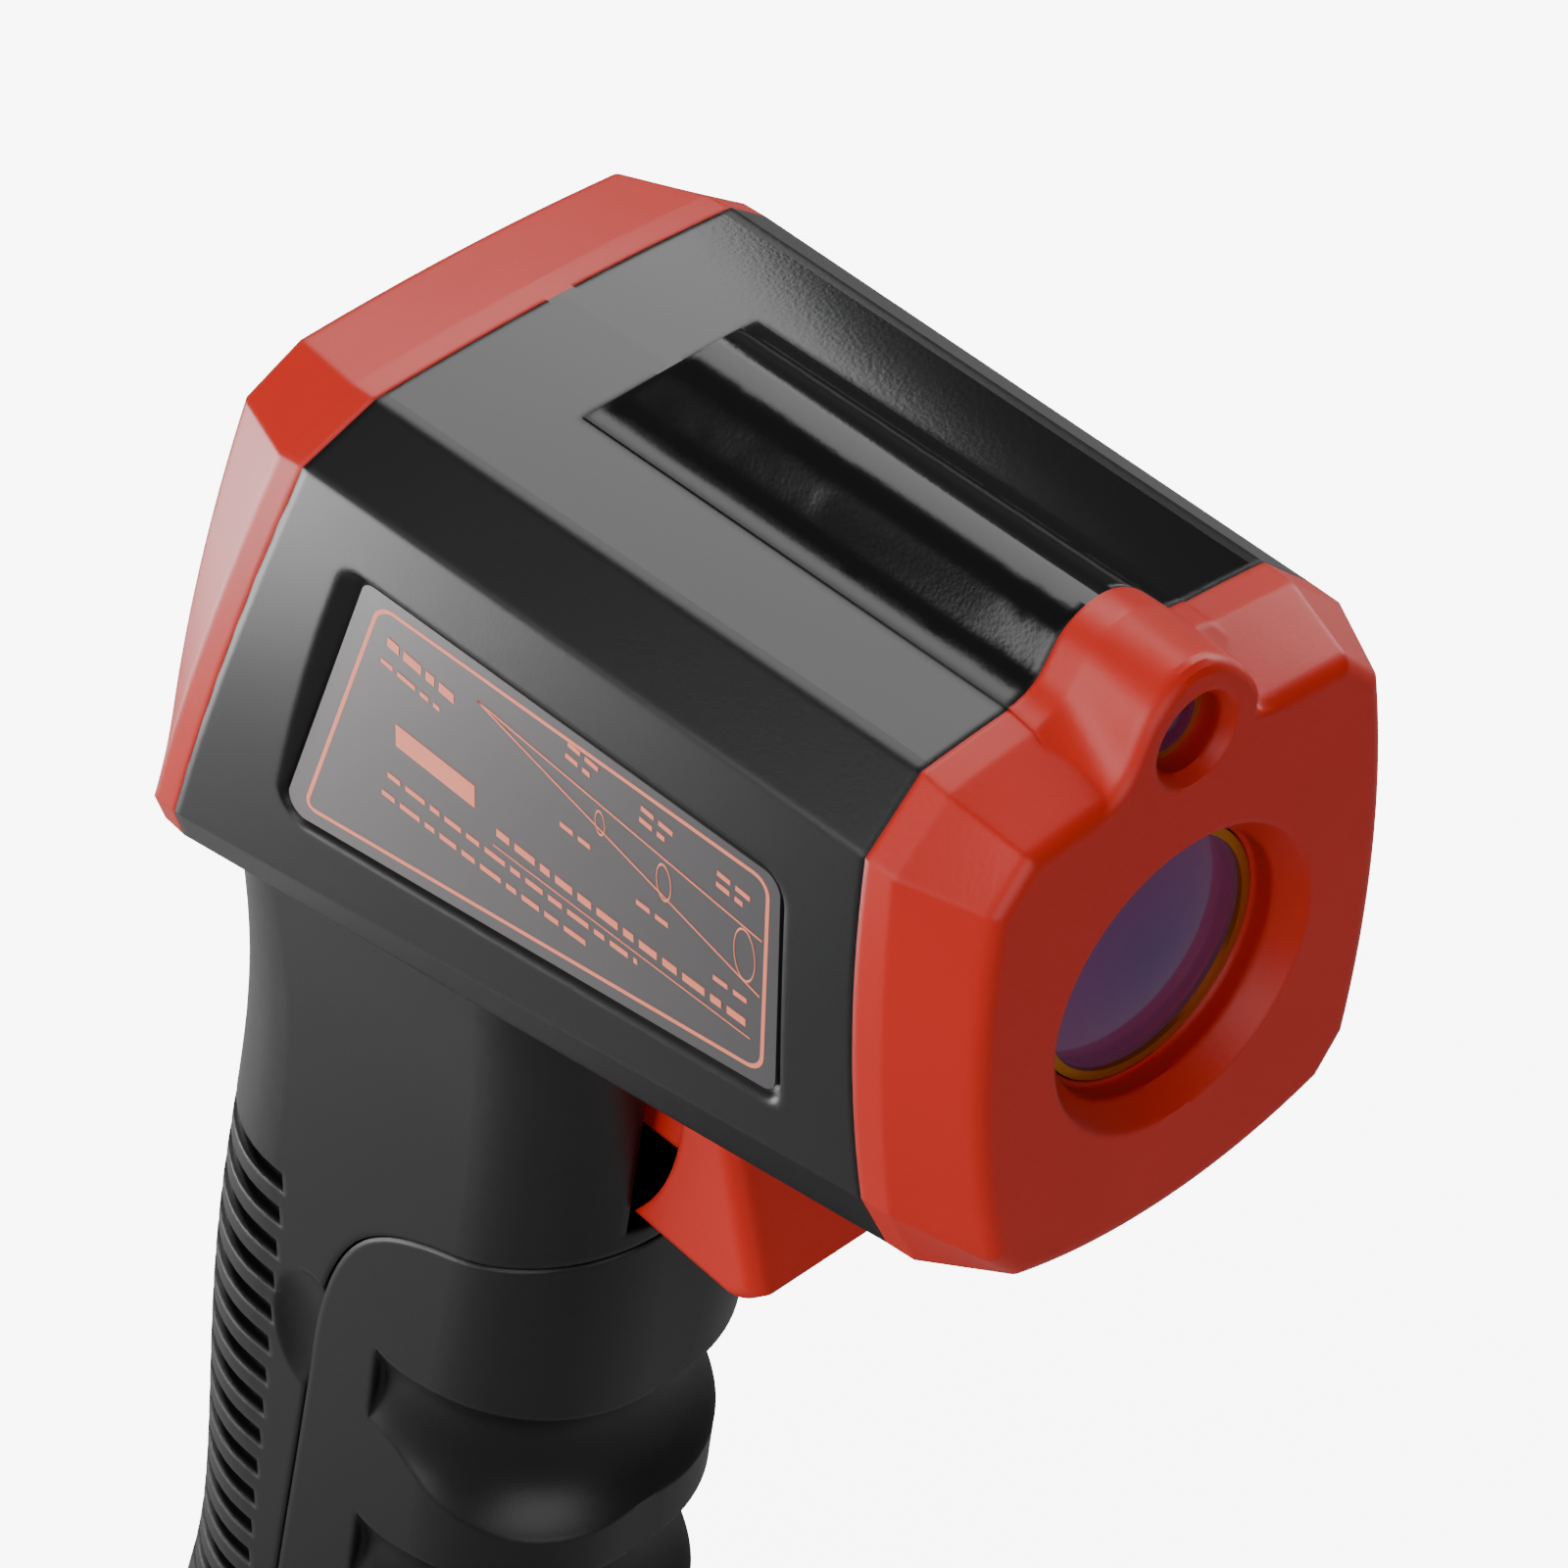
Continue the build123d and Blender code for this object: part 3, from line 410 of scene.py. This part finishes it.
PRINT = 0.04 * MM          # thickness that stands for the ink
box_lo, box_hi = (Vector(c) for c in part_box("right_label"))
label_x = box_lo.x
# corners of the film, from its box: rear top, front top, front bottom, rear bottom
CORNERS = [(box_hi.y - 11.2 * MM, box_hi.z - 0.2 * MM), (box_lo.y, box_hi.z),
           (box_lo.y + 0.6 * MM, box_lo.z + 8.4 * MM), (box_hi.y, box_lo.z)]


def on_label(u, v):
    """(y, z) on the film: u runs from its rear edge to its front, v from top to bottom."""
    (ay, az), (by, bz), (cy, cz), (dy, dz) = CORNERS
    top = Vector((ay + (by - ay) * u, az + (bz - az) * u))
    bottom = Vector((dy + (cy - dy) * u, dz + (cz - dz) * u))
    return top.lerp(bottom, v)


def stroke(a, b, width, side=-1):
    """A printed line on the film from a to b, both (u, v)."""
    p, q = on_label(*a), on_label(*b)
    run = q - p
    bar = start("cube", size=1.0, location=(side * (-label_x + PRINT / 2), *((p + q) / 2)),
                rotation=(math.atan2(run.y, run.x), 0, 0))
    bar.scale = (PRINT, run.length, width)
    return bar


def outline(inset_u, inset_v, width, side=-1, corner=1.6 * MM):
    """The printed frame: a quad with rounded corners, inset to a ring."""
    frame_plane = start("plane", size=1.0)
    spots = [(u, v) for v in (inset_v, 1 - inset_v) for u in (inset_u, 1 - inset_u)]
    for vertex, (u, v) in zip(frame_plane.data.vertices, spots):
        vertex.co = (side * -label_x, *on_label(u, v))
    bpy.ops.object.mode_set(mode="EDIT")
    bpy.ops.mesh.select_all(action="SELECT")
    bpy.ops.mesh.bevel(offset=corner, segments=6, affect="VERTICES")
    bpy.ops.mesh.select_all(action="SELECT")
    bpy.ops.mesh.inset(thickness=width, depth=0)
    bpy.ops.mesh.delete(type="FACE")
    bpy.ops.mesh.select_all(action="SELECT")
    bpy.ops.mesh.normals_make_consistent(inside=False)
    bpy.ops.object.mode_set(mode="OBJECT")
    wall = frame_plane.modifiers.new("ink", "SOLIDIFY")
    wall.thickness = PRINT
    wall.offset = 0
    bpy.ops.object.modifier_apply(modifier="ink")
    return frame_plane


def spot(u, v, half_height, side=-1):
    """A thin printed ellipse: the measured spot seen at a slant."""
    y, z = on_label(u, v)
    ring = start("torus", location=(side * (-label_x + PRINT / 2), y, z), rotation=(0, math.pi / 2, 0),
                 major_radius=half_height, minor_radius=0.11 * MM, major_segments=40, minor_segments=6)
    ring.scale = (1.0, 0.45, 0.3)
    return ring


# %% Print both labels
CONE_TIP = (0.29, 0.14)
CONE_TOP, CONE_LOW = (0.965, 0.335), (0.965, 0.60)


def words(u, v, reach, height, side, rise=0.26):
    """A row of short dashes that stands for a line of text."""
    dashes, at, turn = [], u, 0
    while at < reach:
        length = (0.030, 0.046, 0.022, 0.038)[turn % 4]
        end = min(at + length, reach)
        dashes.append(stroke((at, v + (at - u) * rise), (end, v + (end - u) * rise), height, side))
        at, turn = end + 0.012, turn + 1
    return dashes


def cone_v(u):
    """Height of the cone's middle line on the film."""
    middle = (CONE_TOP[1] + CONE_LOW[1]) / 2
    return CONE_TIP[1] + (middle - CONE_TIP[1]) * (u - CONE_TIP[0]) / (CONE_TOP[0] - CONE_TIP[0])


def print_label(side, name):
    """Outline, widening cone with three spots, a filled tab and dashes in place of text."""
    parts = [outline(0.022, 0.038, 0.36 * MM, side)]
    parts.append(stroke(CONE_TIP, CONE_TOP, 0.16 * MM, side))
    parts.append(stroke(CONE_TIP, CONE_LOW, 0.16 * MM, side))
    for u, half in ((0.60, 1.05), (0.75, 1.6), (0.93, 2.3)):
        parts.append(spot(u, cone_v(u), half * MM, side))
    for u, top in ((0.50, 0.06), (0.68, 0.11), (0.86, 0.16)):
        parts += words(u, top, u + 0.075, 0.45 * MM, side) + words(u, top + 0.05, u + 0.06, 0.45 * MM, side)
    for u, low_v in ((0.52, 0.40), (0.70, 0.52), (0.87, 0.64)):
        parts += words(u, low_v, u + 0.07, 0.45 * MM, side)
    parts += words(0.07, 0.15, 0.25, 0.9 * MM, side) + words(0.07, 0.23, 0.22, 0.45 * MM, side)
    parts.append(stroke((0.15, 0.47), (0.34, 0.515), 2.1 * MM, side))
    parts += words(0.40, 0.60, 0.95, 0.7 * MM, side, 0.3)
    parts.append(stroke((0.40, 0.66), (0.95, 0.825), 0.12 * MM, side))
    parts += words(0.16, 0.64, 0.72, 0.5 * MM, side) + words(0.16, 0.72, 0.62, 0.5 * MM, side)
    piece = join(parts, name)
    piece.data.materials.clear()
    piece.data.materials.append(ink)
    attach(piece, "housing")
    return piece


right_print = print_label(-1, "right_label_print")
left_print = print_label(1, "left_label_print")
print("printed", len(right_print.data.polygons), "faces a side")

# %% [markdown]
# ## Numerals and key marks
# The display shows a temperature in seven-segment numerals, and each key has a plain mark: a
# triangle down, a round dot and a triangle up.

# %% Seven segments
LEAN = math.radians(24.0)   # the display leans back by this much
GLASS, INK = 1.0 * MM, 0.04 * MM    # half the panel's thickness and the bars' own
panel_lo, panel_hi = (Vector(c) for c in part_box("lcd_panel"))
panel_middle = (panel_lo + panel_hi) / 2
OUT = Vector((0, math.cos(LEAN), math.sin(LEAN)))
UP = Vector((0, -math.sin(LEAN), math.cos(LEAN)))
SEGMENTS = {"0": "abcdef", "1": "bc", "2": "abged", "3": "abgcd", "4": "fgbc", "5": "afgcd", "6": "afgedc",
            "7": "abc", "8": "abcdefg", "9": "abcdfg"}


def display_bar(x, up, width, height, out=GLASS + 0.03 * MM, depth=INK):
    """A dark bar on the display plane, x and up from the panel's middle, as seen from behind."""
    place = panel_middle + Vector((-x, 0, 0)) + UP * up + OUT * out
    bar = start("cube", size=1.0, location=place, rotation=(LEAN, 0, 0))
    bar.scale = (width, depth, height)
    return bar


def numeral(figure, x, up, height):
    """One seven-segment figure, its middle at x and up."""
    width, thick = height * 0.5, height * 0.11
    side, quarter = width / 2, height / 4
    spots = {"a": (0, height / 2, 0), "g": (0, 0, 0), "d": (0, -height / 2, 0), "f": (-side, quarter, 1),
             "b": (side, quarter, 1), "e": (-side, -quarter, 1), "c": (side, -quarter, 1)}
    bars = []
    for key in SEGMENTS[figure]:
        dx, dz, upright = spots[key]
        size = (thick, height / 2 - thick) if upright else (width - thick, thick)
        bars.append(display_bar(x + dx, up + dz, *size))
    return bars


digits = []
for figure, x in (("2", -6.4), ("5", -0.6), ("4", 6.2)):
    digits += numeral(figure, x * MM, -0.5 * MM, 8.0 * MM)
digits.append(display_bar(2.9 * MM, -4.5 * MM, 0.9 * MM, 0.9 * MM))
for figure, x in (("0", -1.2), ("9", 1.2), ("5", 4.4)):
    digits += numeral(figure, x * MM, 6.6 * MM, 2.6 * MM)
numerals = join(digits, "display_numerals")
dark_crystal = plain_finish("liquid_crystal_segment", "#20261c", 0.35, 0.0, 0.3, 0.05)
numerals.data.materials.clear()
numerals.data.materials.append(dark_crystal)
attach(numerals, "housing")
print("display bars:", len(digits))

# %% Key marks
def key_mark(name, corners, turn):
    """A flat mark on a key's cap: a disc with three or many corners."""
    lo, hi = (Vector(c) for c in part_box(name))
    top = NODES[name].data.vertices
    face = max(top, key=lambda v: v.co.dot(OUT)).co
    middle = Vector(((lo.x + hi.x) / 2, face.y, face.z))
    centre_up = sum(v.co.dot(UP) for v in top) / len(top)
    place = Vector((middle.x, 0, 0)) + OUT * (face.dot(OUT) + 0.02 * MM) + UP * centre_up
    mark = start("cylinder", vertices=corners, radius=1.15 * MM, depth=0.04 * MM, location=place,
                 rotation=(LEAN - math.pi / 2, 0, 0))
    if turn:
        bpy.ops.object.transform_apply(location=False, rotation=True, scale=False)
        mark.data.transform(Matrix.Rotation(turn, 4, OUT))
    mark = join([mark], name + "_mark")
    mark.data.materials.clear()
    mark.data.materials.append(key_ink)
    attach(mark, name)
    return mark


for name, corners, turn in (("left_button", 3, 0.0), ("mode_button", 32, 0.0), ("right_button", 3, math.pi)):
    print("marked", key_mark(name, corners, turn).name)

# %% [markdown]
# ## Floor and light
# A white floor under the grip and five soft lights.  As seen from the nose looking along +Y they
# are a large panel on the left, one high behind that brightens the top, a wide fill in front, a
# small glow low behind the left side that fades along the label there, and a strip on the right.

# %% Floor and lights
FLOOR_GLOW = 8.0           # seen by the camera only, so the floor and the air above it read as white
WORLD_LIGHT = 0.14         # even light from all round

floor = start("plane", size=6.0, location=(0, 0, 0))
floor.name = "floor"
floor_material, floor_tree, floor_shader = new_material("pale_floor")
floor_shader.inputs["Base Color"].default_value = linear("#8c8c8c")
floor_shader.inputs["Roughness"].default_value = 0.8
floor_shader.inputs["Emission Color"].default_value = linear("#ffffff")
direct_view = add(floor_tree, "LightPath").outputs["Is Camera Ray"]
glow = add(floor_tree, "Math", {"operation": "MULTIPLY"}, i0=direct_view, i1=FLOOR_GLOW).outputs[0]
floor_tree.links.new(glow, floor_shader.inputs["Emission Strength"])
floor.data.materials.append(floor_material)


def soft_light(name, azimuth, elevation, distance, size, power, colour="#ffffff", aim=(0, 0, 0.12)):
    """An area light that faces the head from azimuth and elevation, as a camera would."""
    a, e = math.radians(azimuth), math.radians(elevation)
    away = Vector((math.sin(a) * math.cos(e), -math.cos(a) * math.cos(e), math.sin(e)))
    data = bpy.data.lights.new(name, "AREA")
    data.shape = "RECTANGLE"
    data.size, data.size_y = size
    data.energy = power
    data.color = linear(colour)[:3]
    lamp = bpy.data.objects.new(name, data)
    bpy.context.scene.collection.objects.link(lamp)
    lamp.location = Vector(aim) + away * distance
    lamp.rotation_euler = away.to_track_quat("Z", "Y").to_euler()
    lamp.visible_camera = False
    return lamp


soft_light("left_panel", -100, 22, 0.9, (0.7, 0.6), 7.0)
soft_light("top_panel", 150, 48, 0.6, (0.35, 0.5), 2.2)
soft_light("front_fill", -20, 15, 1.2, (0.8, 0.8), 5.0)
soft_light("low_left_glow", -150, -28, 0.24, (0.16, 0.16), 0.8)
soft_light("right_strip", 95, 30, 0.8, (0.12, 0.9), 4.0)
world = bpy.data.worlds.new("studio")
world.use_nodes = True
world.node_tree.nodes["Background"].inputs[0].default_value = linear("#ffffff")
strength = add(world.node_tree, "MapRange", Value=add(world.node_tree, "LightPath").outputs["Is Camera Ray"])
strength.inputs["To Min"].default_value = WORLD_LIGHT
strength.inputs["To Max"].default_value = FLOOR_GLOW
world.node_tree.links.new(strength.outputs[0], world.node_tree.nodes["Background"].inputs[1])
bpy.context.scene.world = world
